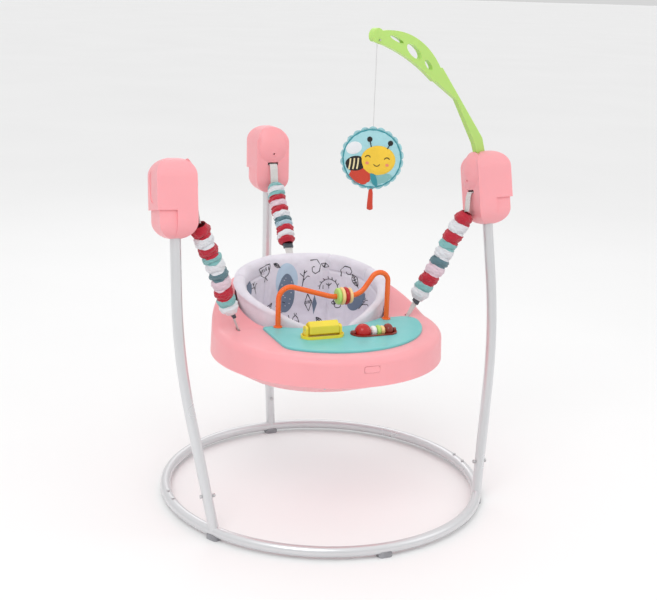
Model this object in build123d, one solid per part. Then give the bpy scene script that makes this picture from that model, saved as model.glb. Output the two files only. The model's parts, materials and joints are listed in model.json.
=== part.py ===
from build123d import *
from math import atan2, cos, degrees, radians, sin
import os

# Baby jumper: a three-post floor frame with a seat tray hung on three covered springs.
# Millimetres, +Z up, child faces -Y. The model is drawn around the centre of the base ring and
# moved at export so that its origin is the middle of its footprint on the floor.

# ---- frame tube and base ring -------------------------------------------------------------
FOOT_GAP = 6.3
TUBE_R = 12.7
STUB_R = 12.3
TUBE_WALL = 1.5
TUBE_BORE = TUBE_R - TUBE_WALL
RING_R = 400.0
RING_Z = FOOT_GAP + TUBE_R
FIT_GAP = 0.1

# ---- posts: foot on the ring, lean below the bend, lean above it (x and y per mm of height) --
STUB_TOP_Z = 133.0
SPIGOT_LOW_Z = 70.0
BEND_Z = 430.0
BEND_RADIUS = 1500.0
POST_TOP_Z = 835.0
FRONT_POST_ANGLE = 30.0
BOLT_Z = 102.0
BOLT_R = 2.5

# ---- pods on top of the posts ----------------------------------------------------------------
POD_Z = 690.0
POD_HEIGHT = 184.0
POD_WIDTH = 92.0
POD_WALL = 3.0
POD_SEAM_U = -26.0
HANG_U = -57.0
HANG_Z = 720.0

# ---- seat tray ---------------------------------------------------------------------------------
TRAY_R = 289.0
TRAY_LOW_Z = 372.0
DECK_Z = 440.0
BACK_Z = 528.0
TRAY_WALL = 3.0
SEAT_Y = 110.0
OPENING_A = 202.0
OPENING_B = 152.0
BOWL_Y = 70.0
BOWL_R = 195.0
BOWL_Z = 306.0

# ---- spring straps: where each meets the tray -----------------------------------------------
SIDE_ANCHOR = (233.0, 10.0, 452.0)
BACK_ANCHOR = (0.0, 273.0, 548.0)
SLEEVE_R = 24.0
SPRING_R = 11.5
WEB_T = 2.4

# ---- toys --------------------------------------------------------------------------------------
PANEL_R = 238.0
PANEL_T = 6.0
PANEL_Z = DECK_Z + PANEL_T
ARCH_Y = -12.0
ARCH_R = 6.5
BEAD_Z = 514.0
BEAD_X = (23.0, 32.8, 43.1, 53.4)
RATTLE = (-56.0, -112.0, PANEL_Z + 21.0)
ROLLER = (76.0, -118.0, PANEL_Z + 5.0)
WELL_DEPTH = 27.0
ARM_FOOT = (388.0, -25.0, 868.0)
STRING_S = 369.0
STRING_TOP_Z = 1146.0
STRING_DROP = 9.0
STRING_LENGTH = 185.0
LEAF_OPENINGS = [(314, 1147, 46, 9, 21), (257, 1119, 56, 23, 33), (207, 1087, 34, 14, 42)]
STRING_R = 0.8
BEE_R = 74.0
BEE_T = 26.0

MODEL_SHIFT = (0.0, -62.0, 0.0)

MIN_ALIGN = (Align.CENTER, Align.CENTER, Align.MIN)
XZ = Plane(origin=(0, 0, 0), x_dir=(1, 0, 0), z_dir=(0, -1, 0))


class Post:
    """One post: foot point, the two leans, and the outward direction its pod faces away from."""

    def __init__(self, name, foot, low_lean, high_lean, outward):
        self.name = name
        self.foot = Vector(foot[0], foot[1], RING_Z)
        self.low = Vector(low_lean[0], low_lean[1], 1)
        self.high = Vector(high_lean[0], high_lean[1], 1)
        self.outward = Vector(*outward)

    def at(self, z):
        """Point on the post's centreline, ignoring the small radius of the bend."""
        if z <= BEND_Z:
            return self.foot + self.low * (z - RING_Z)
        return self.foot + self.low * (BEND_Z - RING_Z) + self.high * (z - BEND_Z)

    def low_plane(self, z):
        return Plane(origin=self.at(z), x_dir=self.outward, z_dir=self.low)

    def pod_plane(self):
        return Plane(origin=self.at(POD_Z), x_dir=self.outward, z_dir=self.high)


FOOT_X = RING_R * cos(radians(FRONT_POST_ANGLE))
FOOT_Y = -RING_R * sin(radians(FRONT_POST_ANGLE))
POSTS = [
    Post("left", (-FOOT_X, FOOT_Y), (-0.16, 0.21), (0.03, 0.21), (-1, 0, 0)),
    Post("right", (FOOT_X, FOOT_Y), (0.16, 0.21), (-0.03, 0.21), (1, 0, 0)),
    Post("back", (0, RING_R), (0, 0.16), (0, 0.03), (0, 1, 0)),
]


def rod(start, end, radius):
    """Solid cylinder between two points."""
    run = Vector(*end) - Vector(*start)
    return Plane(origin=Vector(*start), z_dir=run) * Cylinder(radius, run.length, align=MIN_ALIGN)


def tube(start, end, radius, bore):
    return rod(start, end, radius) - rod(start, end, bore)


def stadium(length, width, height):
    """Flat pill: a rectangle with round ends, standing on z = 0."""
    return extrude(SlotOverall(length, width), height)


def on_ring(angle, z=RING_Z):
    return Vector(RING_R * cos(radians(angle)), RING_R * sin(radians(angle)), z)


# ---- floor frame ----------------------------------------------------------------------------

def ring_arc(radius, start, sweep_angle):
    """Part of the base ring's tube as a solid of the given section radius."""
    section = Plane.XZ * Pos(RING_R, RING_Z) * Circle(radius)
    return Rot(0, 0, start) * revolve(section, Axis.Z, sweep_angle)


SEAM_SCREWS = [seam + side * 3.4 for seam in (0, 180) for side in (-1, 1)]


def half_ring(start, posts):
    """One half hoop with the stubs that carry its posts, hollow all the way through."""
    shape = ring_arc(TUBE_R, start, 180) - ring_arc(TUBE_BORE, start, 180)
    for angle in SEAM_SCREWS:
        if 0 < (angle - start) % 360 < 180:
            shape -= screw_hole(angle)
    for post in posts:
        shape += stub(post)
    return shape


def screw_hole(angle):
    return Pos(on_ring(angle, RING_Z + 6)) * Cylinder(BOLT_R + FIT_GAP, 14, align=MIN_ALIGN)


def stub(post):
    """Open tube welded on the ring, coped to the ring's outside."""
    angle = degrees(atan2(post.foot.Y, post.foot.X))
    shape = rod(post.foot, post.at(STUB_TOP_Z), STUB_R) - ring_arc(TUBE_R - 0.4, angle - 8, 16)
    shape = shape.solids().sort_by(SortBy.VOLUME)[-1]
    shape -= rod(post.at(SPIGOT_LOW_Z - 25), post.at(STUB_TOP_Z + 1), TUBE_BORE)
    return shape.solids().sort_by(SortBy.VOLUME)[-1] - bolt_hole(post)


def bolt_axis(post, reach):
    """A point beside the post at bolt height; negative reach is the side that faces the seat."""
    return post.at(BOLT_Z) + post.outward * reach


def bolt_hole(post):
    return rod(bolt_axis(post, -20), bolt_axis(post, 20), BOLT_R + FIT_GAP)


def post_tube(post):
    """Bent tube with a swaged lower end that plugs into the stub."""
    low = post.at(STUB_TOP_Z + 3)
    path = FilletPolyline(low, post.at(BEND_Z), post.at(POST_TOP_Z), radius=BEND_RADIUS)
    section = post.low_plane(STUB_TOP_Z + 3) * (Circle(TUBE_R) - Circle(TUBE_BORE))
    shape = sweep(section, path=path)
    spigot_r = TUBE_BORE - FIT_GAP
    shape += tube(post.at(SPIGOT_LOW_Z), low, spigot_r, spigot_r - TUBE_WALL)
    shape += tube(post.at(STUB_TOP_Z), low, TUBE_R, spigot_r - TUBE_WALL)
    return shape - bolt_hole(post)


def post_bolt(post):
    """Button-head bolt through stub and post, with its nut on the seat side."""
    face = TUBE_R + 1.4
    shank = rod(bolt_axis(post, -face - 6), bolt_axis(post, face), BOLT_R)
    head = rod(bolt_axis(post, face), bolt_axis(post, face + 3), 4.6)
    nut = rod(bolt_axis(post, -face - 4.2), bolt_axis(post, -face), 4.8)
    return shank + head + nut


def ring_connector(seam):
    """Curved steel sleeve inside the ring, bridging one seam."""
    outer = ring_arc(TUBE_BORE - FIT_GAP, seam - 6, 12)
    shape = outer - ring_arc(TUBE_BORE - FIT_GAP - TUBE_WALL, seam - 6, 12)
    for angle in SEAM_SCREWS:
        shape -= screw_hole(angle)
    return shape


def seam_screw(angle):
    shank = Pos(on_ring(angle, RING_Z + 6)) * Cylinder(BOLT_R, TUBE_R - 5.5, align=MIN_ALIGN)
    return shank + Pos(on_ring(angle, RING_Z + TUBE_R + 0.4)) * Cylinder(4.4, 2.4, align=MIN_ALIGN)


def ring_foot(angle):
    """Rubber saddle that lifts the tube off the floor."""
    block = Box(26, 34, RING_Z - 5, align=MIN_ALIGN)
    block = fillet(block.edges().filter_by(Axis.Z), 8)
    block = Pos(on_ring(angle, 0)) * Rot(0, 0, angle) * block
    return block - ring_arc(TUBE_R + 0.05, angle - 8, 16)


# ---- pods --------------------------------------------------------------------------------------

def pod_pill(inset, step):
    """Pill seen from the front and the side: u is outward, v sideways, z up the post."""
    height = POD_HEIGHT - 2 * inset
    side = Pos(3.5 - step / 2, POD_HEIGHT / 2) * RectangleRounded(93 - step - 2 * inset, height, 40 - inset)
    width = POD_WIDTH - 2 * step - 2 * inset
    front = Pos(0, POD_HEIGHT / 2) * RectangleRounded(width, height, width / 2 - 1)
    return extrude(XZ * side, 100, both=True) & extrude(Plane.YZ * front, 100, both=True)


def pod_blank(inset):
    """Outside of a pod, or its cavity when inset: a pill stepped in at its outer foot."""
    foot = Pos(105 - inset, 0, 30 + inset) * Box(200, 300, 72)
    return (pod_pill(inset, 0) - foot) + (pod_pill(inset, 5) & foot)


def pod_dome():
    """Shallow bulge of the inner half above the strap."""
    cap = Pos(32, 0, POD_HEIGHT - 58) * Sphere(85) & Pos(-46, 0, 100) * Box(30, 120, 200)
    front = Pos(0, POD_HEIGHT / 2) * RectangleRounded(POD_WIDTH, POD_HEIGHT, POD_WIDTH / 2 - 1)
    return cap & extrude(Plane.YZ * front, 100, both=True)


def pod_shell():
    """Hollow pod with a post socket, a dome towards the seat and the strap's slot."""
    shape = pod_blank(0) + pod_dome()
    shape -= pod_blank(POD_WALL)
    shape += Pos(0, 0, 5) * Cylinder(TUBE_R + 5, 57, align=MIN_ALIGN)
    shape -= Pos(0, 0, -5) * Cylinder(TUBE_R + FIT_GAP, 200 - 45, align=MIN_ALIGN)
    shape -= Pos(-42, 0, 84) * Box(12, 30, 8)
    shape -= Plane(origin=(-60, 0, 112), z_dir=(1, 0, 0)) * Cylinder(2.7, 60, align=MIN_ALIGN)
    return shape


def pod_recess():
    """Thumb-shaped recess high on the outer face."""
    return Pos(53, 0, POD_HEIGHT - 62) * Rot(0, 90, 0) * extrude(SlotOverall(82, 56), 5, both=True)


def split_pod(shape, keep_inner):
    """Cut the shell on its seam and keep the half that faces the seat, or the other one."""
    half = Box(200, 200, 400)
    offset = POD_SEAM_U - 100 if keep_inner else POD_SEAM_U + 100
    return shape & (Pos(offset, 0, 100) * half)


def pod_screw():
    shank = Plane(origin=(-42, 0, 112), z_dir=(1, 0, 0)) * Cylinder(2.5, 26, align=MIN_ALIGN)
    return shank + Plane(origin=(-43, 0, 112), z_dir=(1, 0, 0)) * Cylinder(2.6, 2, align=MIN_ALIGN)


def strap_pin():
    return Pos(-33, -30, 76) * Rot(-90, 0, 0) * Cylinder(3, 60, align=MIN_ALIGN)


# ---- spring straps -------------------------------------------------------------------------

class Strap:
    """Straight line of one spring strap, from under its pod to the tray."""

    def __init__(self, post, anchor):
        self.post = post
        centre = post.at(HANG_Z)
        self.top = centre + post.outward * HANG_U
        self.anchor = Vector(*anchor)
        self.run = self.anchor - self.top
        self.length = self.run.length
        self.cross = Vector(0, 0, 1).cross(post.outward)

    def plane(self, distance):
        """Plane across the strap, x_dir along the webbing's width."""
        point = self.top + self.run.normalized() * distance
        return Plane(origin=point, x_dir=self.cross, z_dir=self.run)


def side_anchor(side):
    return (side * SIDE_ANCHOR[0], SIDE_ANCHOR[1], SIDE_ANCHOR[2])


STRAPS = [
    Strap(POSTS[0], side_anchor(-1)),
    Strap(POSTS[1], side_anchor(1)),
    Strap(POSTS[2], BACK_ANCHOR),
]
SLEEVE_END_GAP = 42.0


def sleeve_length(strap):
    return strap.length - SLEEVE_END_GAP


def sleeve(strap):
    """Fabric cover around the spring, drawn in at both ends."""
    length = sleeve_length(strap)
    bore = SPRING_R + 1.5
    outline = Polyline(
        (bore, 0), (15, 0), (SLEEVE_R, 18), (SLEEVE_R, length - 22), (15, length), (bore, length), (bore, 0)
    )
    return strap.plane(0) * revolve(XZ * make_face(outline), Axis.Z, 360)


def spring(strap):
    """Close-wound extension spring, drawn as a ribbed tube."""
    length = sleeve_length(strap) - 30
    pitch = 8.0
    count = int(length / pitch)
    shape = Cylinder(SPRING_R - 1.6, count * pitch, align=MIN_ALIGN)
    shape -= Cylinder(SPRING_R - 3.6, count * pitch, align=MIN_ALIGN)
    for index in range(count):
        shape += Pos(0, 0, (index + 0.5) * pitch) * Torus(SPRING_R - 2.4, 2.2)
    return strap.plane(15) * shape


def upper_strap(strap):
    """Webbing from the pin inside the pod, out of the slot and down to the spring."""
    plane = strap.post.pod_plane()
    low = plane.to_local_coords(strap.top)
    line = Polyline((-27.5, 82.5), (-46.5, 82.5), (-51, 70), (low.X, low.Z + 3))
    strip = extrude(XZ * trace(line, WEB_T), 10.5, both=True)
    return plane * strip


def lower_strap(strap):
    """Webbing from the buckle down through the tray's slot, narrower at its tip."""
    start = sleeve_length(strap) + 13
    wide = strap.plane(start) * Rectangle(22, WEB_T)
    narrow = strap.plane(strap.length + 20) * Rectangle(11, WEB_T)
    return loft([wide, narrow])


def strap_buckle(strap):
    start = sleeve_length(strap) + 1
    block = strap.plane(start) * extrude(RectangleRounded(27, 9, 3), 11.5)
    return block


def strap_anchor(strap):
    """Toggle bar under the tray skin that stops the webbing pulling out."""
    return strap.plane(strap.length + 24) * Box(26, 8, 7)


# ---- seat tray ---------------------------------------------------------------------------------

def tray_side(drop):
    """Side outline of the tray swept across it: level in front, rising behind the hips."""
    top = [(-320, DECK_Z - drop), (22, DECK_Z - drop), (202, BACK_Z - 4 - drop), (320, BACK_Z - drop)]
    face = make_face(Polyline((-320, 300), *top, (320, 300), (-320, 300)))
    bends = [vertex for vertex in face.vertices() if abs(vertex.X) < 250]
    return extrude(Plane.YZ * fillet(bends, 80), 320, both=True)


def tray_round(inset, low):
    """Round plan of the tray with a slight draft."""
    bottom = TRAY_R - inset
    top = TRAY_R - 7 - inset
    outline = Polyline((0, low), (bottom, low), (top, 560), (0, 560), (0, low))
    return revolve(XZ * make_face(outline), Axis.Z, 360)


def seat_ellipse(a, b, low, high):
    """Upright elliptical cylinder around the seat's middle."""
    return Pos(0, SEAT_Y, low) * extrude(Ellipse(a, b), high - low)


def tray_blank(inset, low):
    """Solid tray with its top edge rounded, or its cavity when inset."""
    shape = tray_round(inset, low) & tray_side(inset)
    rim = shape.edges().filter_by(lambda edge: edge.bounding_box().min.Z > DECK_Z - 10)
    return fillet(rim, 18 - inset)


def tray_upper():
    shape = tray_blank(0, TRAY_LOW_Z) - tray_blank(TRAY_WALL, TRAY_LOW_Z - 10)
    collar = seat_ellipse(OPENING_A + 3, OPENING_B + 3, 395, 560) & tray_side(1)
    shape += collar
    shape -= seat_ellipse(OPENING_A, OPENING_B, 300, 600)
    for strap in STRAPS:
        shape -= strap.plane(strap.length - 25) * extrude(Rectangle(24, 6), 42)
    shape -= latch_block(0.6)
    shape -= roller_cutout()
    for x, y in TRAY_SCREWS:
        shape += Pos(x, y, TRAY_LOW_Z + 2) * Cylinder(6, 150, align=MIN_ALIGN) & tray_blank(1, TRAY_LOW_Z)
        shape -= Pos(x, y, TRAY_LOW_Z) * Cylinder(2.1, 20, align=MIN_ALIGN)
    return shape


TRAY_SCREWS = [(264 * cos(radians(a)), 264 * sin(radians(a))) for a in (-150, -112, -68, -30, 30, 150)]


def tray_lower():
    """Under-tray: a shallow offset bowl with a wide hole for the child's legs."""
    top = TRAY_LOW_Z - 0.2
    outer = loft([Pos(0, 0, top) * Circle(TRAY_R - 2), Pos(0, BOWL_Y, BOWL_Z) * Circle(BOWL_R)])
    inner = loft([Pos(0, 0, top) * Circle(TRAY_R - 8), Pos(0, BOWL_Y, BOWL_Z + 3) * Circle(BOWL_R - 4)])
    shape = outer - inner
    shape -= seat_ellipse(176, 126, 200, 400)
    for x, y in TRAY_SCREWS:
        boss = Pos(x, y, TRAY_LOW_Z - 14) * Cylinder(6, 13.8, align=MIN_ALIGN)
        shape += boss & outer
        shape -= Pos(x, y, TRAY_LOW_Z - 30) * Cylinder(2.2, 40, align=MIN_ALIGN)
    return shape


def tray_screw(x, y):
    return Pos(x, y, TRAY_LOW_Z - 12) * Cylinder(2.0, 28, align=MIN_ALIGN)


def latch_block(grow):
    """Rounded release tab let into the front wall."""
    face = RectangleRounded(38 + 2 * grow, 15 + 2 * grow, 5)
    front = Plane(origin=(0, -TRAY_R - 1, DECK_Z - 26), x_dir=(1, 0, 0), z_dir=(0, 1, 0))
    return front * extrude(face, 16)


def tray_latch():
    shell = tray_round(-0.8, TRAY_LOW_Z)
    return latch_block(0) & shell


def toy_panel():
    """Kidney-shaped toy deck wrapped around the front of the seat opening."""
    plan = Circle(PANEL_R) - Pos(0, SEAT_Y + 6) * Ellipse(208, 160)
    plan &= Pos(130, -198) * Rectangle(600, 400)
    corner = plan.vertices().sort_by(Axis.X)[:2].sort_by(Axis.Y)[0]
    plan = fillet([corner], 52)
    plan = fillet([vertex for vertex in plan.vertices() if vertex.X < 0 and vertex.Y > 1], 9)
    plan = fillet([vertex for vertex in plan.vertices() if vertex.X > 100 and vertex.Y > 1], 34)
    slab = Pos(0, 0, DECK_Z + 0.1) * extrude(plan, PANEL_T - 0.1)
    slab = fillet(slab.faces().sort_by(Axis.Z)[-1].edges(), 3)
    return slab - roller_cutout()


def arch_path():
    """Rail over the tray: up, over a low shoulder, through a dip and over a high one."""
    y = ARCH_Y
    foot = PANEL_Z + 0.05
    left = [(-134, y, foot), (-134, y, 556), (6, y, BEAD_Z)]
    right = [(82, y, BEAD_Z), (157, y, 620), (157, y, foot)]
    return FilletPolyline(*left, *right, radius=[30, 60, 45, 24])


def bead_arch():
    path = arch_path()
    section = Plane(origin=(-134, ARCH_Y, PANEL_Z + 0.05), z_dir=(0, 0, 1)) * Circle(ARCH_R)
    rail = sweep(section, path=path)
    for x in (-134, 157):
        flange = Pos(x, ARCH_Y, PANEL_Z + 0.05) * Cylinder(11, 3, align=MIN_ALIGN)
        rail += fillet(flange.edges().sort_by(Axis.Z)[-1], 1.5)
    return rail


def bead(x, radius, width):
    """Rounded disc threaded on the rail's dip."""
    disc = Plane(origin=(x, ARCH_Y, BEAD_Z), z_dir=(1, 0, 0)) * Cylinder(radius, width)
    disc = fillet(disc.edges(), width / 2 - 0.3)
    bore = Plane(origin=(x, ARCH_Y, BEAD_Z), z_dir=(1, 0, 0)) * Cylinder(ARCH_R + 0.08, width + 4)
    return disc - bore


def rattle_base():
    """Boat-shaped cradle with an upright at each end for the drum's pin."""
    x, y, z = RATTLE
    boat = Pos(x, y, PANEL_Z) * (stadium(108, 46, 7) - Pos(0, 0, 1.2) * stadium(102, 40, 8))
    for side in (-1, 1):
        cheek = Pos(x + side * 43, y, PANEL_Z) * Box(6, 22, z - PANEL_Z + 8, align=MIN_ALIGN)
        boat += fillet(cheek.edges().filter_by(Axis.X).sort_by(Axis.Z)[-2:], 7)
    return boat - rod((x - 60, y, z), (x + 60, y, z), 2.06)


def rattle_pin():
    x, y, z = RATTLE
    return rod((x - 46, y, z), (x + 46, y, z), 2.0)


def rattle_drum():
    """Six-sided see-through drum, hollow, with closed ends."""
    x, y, z = RATTLE
    drum = Plane(origin=(x - 38, y, z), z_dir=(1, 0, 0)) * extrude(RegularPolygon(19.0, 6), 76)
    drum = fillet(drum.edges(), 3)
    hollow = Plane(origin=(x - 35, y, z), z_dir=(1, 0, 0)) * extrude(RegularPolygon(16.0, 6), 70)
    return drum - hollow - rod((x - 45, y, z), (x + 45, y, z), 2.06)


def rattle_beads():
    x, y, z = RATTLE
    balls = []
    for index in range(5):
        balls.append(Pos(x - 24 + 12 * index, y + (3 if index % 2 else -3), z - 8.6) * Sphere(4.4))
    return balls


def roller_base():
    """Oval well let into the panel, with a raised lip and the axle's bearing holes."""
    x, y, z = ROLLER
    well = Pos(x, y, PANEL_Z - WELL_DEPTH) * stadium(112, 48, WELL_DEPTH + 3)
    well += Pos(x, y, PANEL_Z + 0.1) * stadium(120, 56, 2.9)
    well -= Pos(x, y, PANEL_Z - WELL_DEPTH + 2) * stadium(108, 44, WELL_DEPTH + 3)
    for side in (-1, 1):
        bearing = Pos(x + side * 54.5, y, PANEL_Z) * Box(6, 13, z - PANEL_Z + 5, align=MIN_ALIGN)
        well += fillet(bearing.edges().filter_by(Axis.X).sort_by(Axis.Z)[-2:], 5)
    return well - rod((x - 70, y, z), (x + 70, y, z), 2.06)


def roller_cutout():
    """Hole for the roller's well through the panel and the tray's top."""
    return Pos(ROLLER[0], ROLLER[1], 400) * stadium(113, 49, 80)


def roller_axle():
    x, y, z = ROLLER
    return rod((x - 55, y, z), (x + 55, y, z), 2.0)


def roller(offset, length, radius):
    """Egg-shaped bead on the roller axle."""
    x, y, z = ROLLER
    body = Plane(origin=(x + offset, y, z), z_dir=(1, 0, 0)) * Cylinder(radius, length)
    body = fillet(body.edges(), min(length, 2 * radius) / 2 - 0.4)
    return body - rod((x - 60, y, z), (x + 60, y, z), 2.06)


# ---- fabric seat ---------------------------------------------------------------------------

def seat_frame():
    """Moulded ring that carries the fabric seat inside the tray's collar."""
    ring = seat_ellipse(OPENING_A - 1, OPENING_B - 1, 405, 436)
    return ring - seat_ellipse(OPENING_A - 6, OPENING_B - 6, 400, 440)


def seat_clips():
    clips = []
    for turn, reach in ((0, OPENING_A), (90, OPENING_B), (180, OPENING_A), (270, OPENING_B)):
        stem = Pos(reach - 4, 0, 386) * Box(4, 22, 18.9, align=MIN_ALIGN)
        hook = Pos(reach, 0, 386) * Box(12, 22, 8.6, align=MIN_ALIGN)
        clips.append(Pos(0, SEAT_Y, 0) * Rot(0, 0, turn) * (stem + hook))
    return clips


def pouch(shrink, low):
    """Tapering elliptical cup, open at the top."""
    top = Pos(0, SEAT_Y, 590) * Ellipse(OPENING_A - 9 - shrink, OPENING_B - 9 - shrink)
    waist = Pos(0, SEAT_Y, 420) * Ellipse(OPENING_A - 11 - shrink, OPENING_B - 11 - shrink)
    bottom = Pos(0, SEAT_Y, low) * Ellipse(140 - shrink, 104 - shrink)
    return loft([bottom, waist], ruled=True) + loft([waist, top], ruled=True)


def seat_pad():
    """Padded fabric seat: high behind, low in front, two leg holes in the bottom."""
    shape = pouch(0, 268) - pouch(12, 280)
    shape &= Pos(0, 0, 17) * tray_side(0) + Pos(0, 0, 150) * Box(900, 900, 560)
    for side in (-1, 1):
        hole = Pos(side * 66, SEAT_Y - 30, 220) * Cylinder(50, 100, align=MIN_ALIGN)
        shape -= hole
    return shape


# ---- hanging toy -----------------------------------------------------------------------------

def arm_plane():
    """Upright plane of the toy arm: x runs from the right pod towards the middle."""
    return Plane(origin=(ARM_FOOT[0], ARM_FOOT[1], 0), x_dir=(-0.947, -0.322, 0), z_dir=(-0.322, 0.947, 0))


def arm_stalk():
    """Outline of the arm's stalk, from inside the pod's top to the blade."""
    outline = [(-14, 855), (14, 855), (30, 892), (104, 1002), (186, 1052), (160, 1080), (60, 968), (4, 905)]
    return make_face(Polyline(*outline, outline[0]))


def arm_socket():
    """Room for the arm's stalk in the top of the right pod."""
    return extrude(arm_plane() * offset(arm_stalk(), 0.4), 7.4, both=True)


def toy_arm():
    """Leaf-shaped arm: a stalk that plugs into the pod and a ribbed, pierced blade."""
    stalk = arm_stalk()
    upper = ThreePointArc((160, 1070), (246, 1147), (359, 1166))
    tip = ThreePointArc((359, 1166), (389, 1160), (384, 1143))
    lower = ThreePointArc((384, 1143), (288, 1110), (186, 1048))
    blade = make_face(upper + tip + lower + Line((186, 1048), (160, 1070)))
    plan = stalk + blade
    shape = extrude(arm_plane() * plan, 7, both=True)
    for s, z, length, width, tilt in LEAF_OPENINGS:
        place = Pos(s, z) * Rot(0, 0, tilt)
        shape -= extrude(arm_plane() * place * Ellipse(length / 2, width / 2), 20, both=True)
    eye = arm_point(STRING_S, STRING_TOP_Z)
    shape -= Pos(eye + Vector(0, 0, -16)) * Cone(14.4, 6.5, 9.5, align=MIN_ALIGN)
    shape -= rod(eye + Vector(-9.5, 28, 0), eye + Vector(9.5, -28, 0), 2.1)
    return shape


def arm_point(s, z):
    return arm_plane().from_local_coords(Vector(s, z, 0))


def toy_ring():
    """Small pin through the arm's tip that the cord is tied to."""
    eye = arm_point(STRING_S, STRING_TOP_Z)
    across = Vector(-0.322, 0.947, 0)
    return rod(eye - across * 11, eye + across * 11, 2.0)


def toy_string():
    top = arm_point(STRING_S, STRING_TOP_Z)
    return Pos(top + Vector(0, 0, -STRING_LENGTH - STRING_DROP)) * Cylinder(STRING_R, STRING_LENGTH, align=MIN_ALIGN)


def bee_plane():
    top = arm_point(STRING_S, STRING_TOP_Z - STRING_LENGTH - STRING_DROP - BEE_R)
    return Plane(origin=top, x_dir=(0.925, -0.38, 0), z_dir=(-0.38, -0.925, 0))


def bee_toy():
    """Round stuffed disc, thick in the middle and thin at its piped edge."""
    dome = BEE_T / 2
    sphere_r = (BEE_R * BEE_R + dome * dome) / (2 * dome)
    front = Pos(0, 0, dome - sphere_r) * Sphere(sphere_r)
    back = Pos(0, 0, sphere_r - dome) * Sphere(sphere_r)
    return bee_plane() * (front & back & Cylinder(BEE_R - 0.5, BEE_T))


def bee_pull():
    tag = Pos(0, -BEE_R - 24.5, 0) * extrude(RectangleRounded(15, 48, 5), 2, both=True)
    return bee_plane() * tag


# ---- assembly ---------------------------------------------------------------------------------

def build_parts():
    left, right, back = POSTS
    parts = {
        "base_ring_front": half_ring(180, [left, right]),
        "base_ring_back": half_ring(0, [back]),
        "ring_connectors": [ring_connector(seam) for seam in (0, 180)],
        "ring_screws": [seam_screw(angle) for angle in SEAM_SCREWS],
        "ring_feet": [ring_foot(angle) for angle in (-90, -30, 90, 210)],
        "post_bolts": [post_bolt(post) for post in POSTS],
        "pod_screws": [post.pod_plane() * pod_screw() for post in POSTS],
        "strap_pins": [post.pod_plane() * strap_pin() for post in POSTS],
        "strap_buckles": [strap_buckle(strap) for strap in STRAPS],
        "strap_anchors": [strap_anchor(strap) for strap in STRAPS],
        "tray_upper": tray_upper(),
        "tray_lower": tray_lower(),
        "tray_screws": [tray_screw(x, y) for x, y in TRAY_SCREWS],
        "tray_latch": tray_latch(),
        "toy_panel": toy_panel(),
        "bead_arch": bead_arch(),
        "bead_green": bead(BEAD_X[0], 21, 9.5),
        "bead_cream": bead(BEAD_X[1], 22.5, 9.5),
        "bead_red": bead(BEAD_X[2], 22.5, 10.5),
        "bead_orange": bead(BEAD_X[3], 20, 9.5),
        "rattle_base": rattle_base(),
        "rattle_pin": rattle_pin(),
        "rattle_drum": rattle_drum(),
        "rattle_beads": rattle_beads(),
        "roller_base": roller_base(),
        "roller_axle": roller_axle(),
        "roller_red": roller(-29, 40, 20.4),
        "roller_white": roller(-1.2, 15, 13),
        "roller_green": roller(11.5, 9.6, 14),
        "roller_cream": roller(22, 10.6, 12),
        "roller_brown": roller(38, 20.6, 16),
        "seat_frame": seat_frame(),
        "seat_clips": seat_clips(),
        "seat_pad": seat_pad(),
        "toy_arm": toy_arm(),
        "toy_ring": toy_ring(),
        "toy_string": toy_string(),
        "bee_toy": bee_toy(),
        "bee_pull": bee_pull(),
    }
    shell = pod_shell()
    for post, strap in zip(POSTS, STRAPS):
        parts["post_" + post.name] = post_tube(post)
        outer = post.pod_plane() * (split_pod(shell, False) - pod_recess())
        inner = post.pod_plane() * split_pod(shell, True)
        if post is right:
            outer -= arm_socket()
            inner -= arm_socket()
        parts["pod_outer_" + post.name] = outer
        parts["pod_inner_" + post.name] = inner
        parts["upper_strap_" + post.name] = upper_strap(strap)
        parts["spring_" + post.name] = spring(strap)
        parts["sleeve_" + post.name] = sleeve(strap)
        parts["lower_strap_" + post.name] = lower_strap(strap)
    return parts


def main():
    os.makedirs("parts", exist_ok=True)
    for name, shape in build_parts().items():
        pieces = shape if isinstance(shape, list) else [shape]
        solids = [solid for piece in pieces for solid in piece.solids()]
        moved = [Pos(*MODEL_SHIFT) * solid for solid in solids]
        whole = moved[0] if len(moved) == 1 else Compound(children=moved)
        export_step(whole, "parts/" + name + ".step")


main()
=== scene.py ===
import json
import math
import bmesh
import bpy
from mathutils import Matrix, Vector, noise
from mathutils.bvhtree import BVHTree


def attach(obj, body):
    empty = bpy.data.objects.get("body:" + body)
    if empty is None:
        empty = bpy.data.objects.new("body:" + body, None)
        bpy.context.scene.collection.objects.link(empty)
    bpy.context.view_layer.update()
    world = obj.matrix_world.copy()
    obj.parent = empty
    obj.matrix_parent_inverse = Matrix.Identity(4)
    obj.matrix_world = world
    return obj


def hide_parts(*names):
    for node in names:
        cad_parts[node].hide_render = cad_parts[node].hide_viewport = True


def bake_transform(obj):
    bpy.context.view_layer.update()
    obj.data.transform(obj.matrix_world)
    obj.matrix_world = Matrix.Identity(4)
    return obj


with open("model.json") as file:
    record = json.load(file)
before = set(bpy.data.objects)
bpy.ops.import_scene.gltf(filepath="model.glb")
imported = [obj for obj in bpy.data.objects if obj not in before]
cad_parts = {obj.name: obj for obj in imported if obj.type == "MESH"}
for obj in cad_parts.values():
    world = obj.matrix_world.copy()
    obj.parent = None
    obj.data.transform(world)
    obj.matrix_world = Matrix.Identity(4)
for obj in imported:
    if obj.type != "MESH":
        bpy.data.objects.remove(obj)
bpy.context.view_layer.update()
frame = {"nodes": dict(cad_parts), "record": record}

# ---- driving sizes, in metres --------------------------------------------------------------
SEAT_Y = 0.048
OPENING_A, OPENING_B = 0.202, 0.152
PAD_LOW_Z, PAD_FLOOR_Z = 0.268, 0.286
PAD_FRONT_Z, PAD_BACK_Z = 0.439, 0.569
PAD_FRONT_Y, PAD_BACK_Y = -0.098, 0.190
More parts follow.
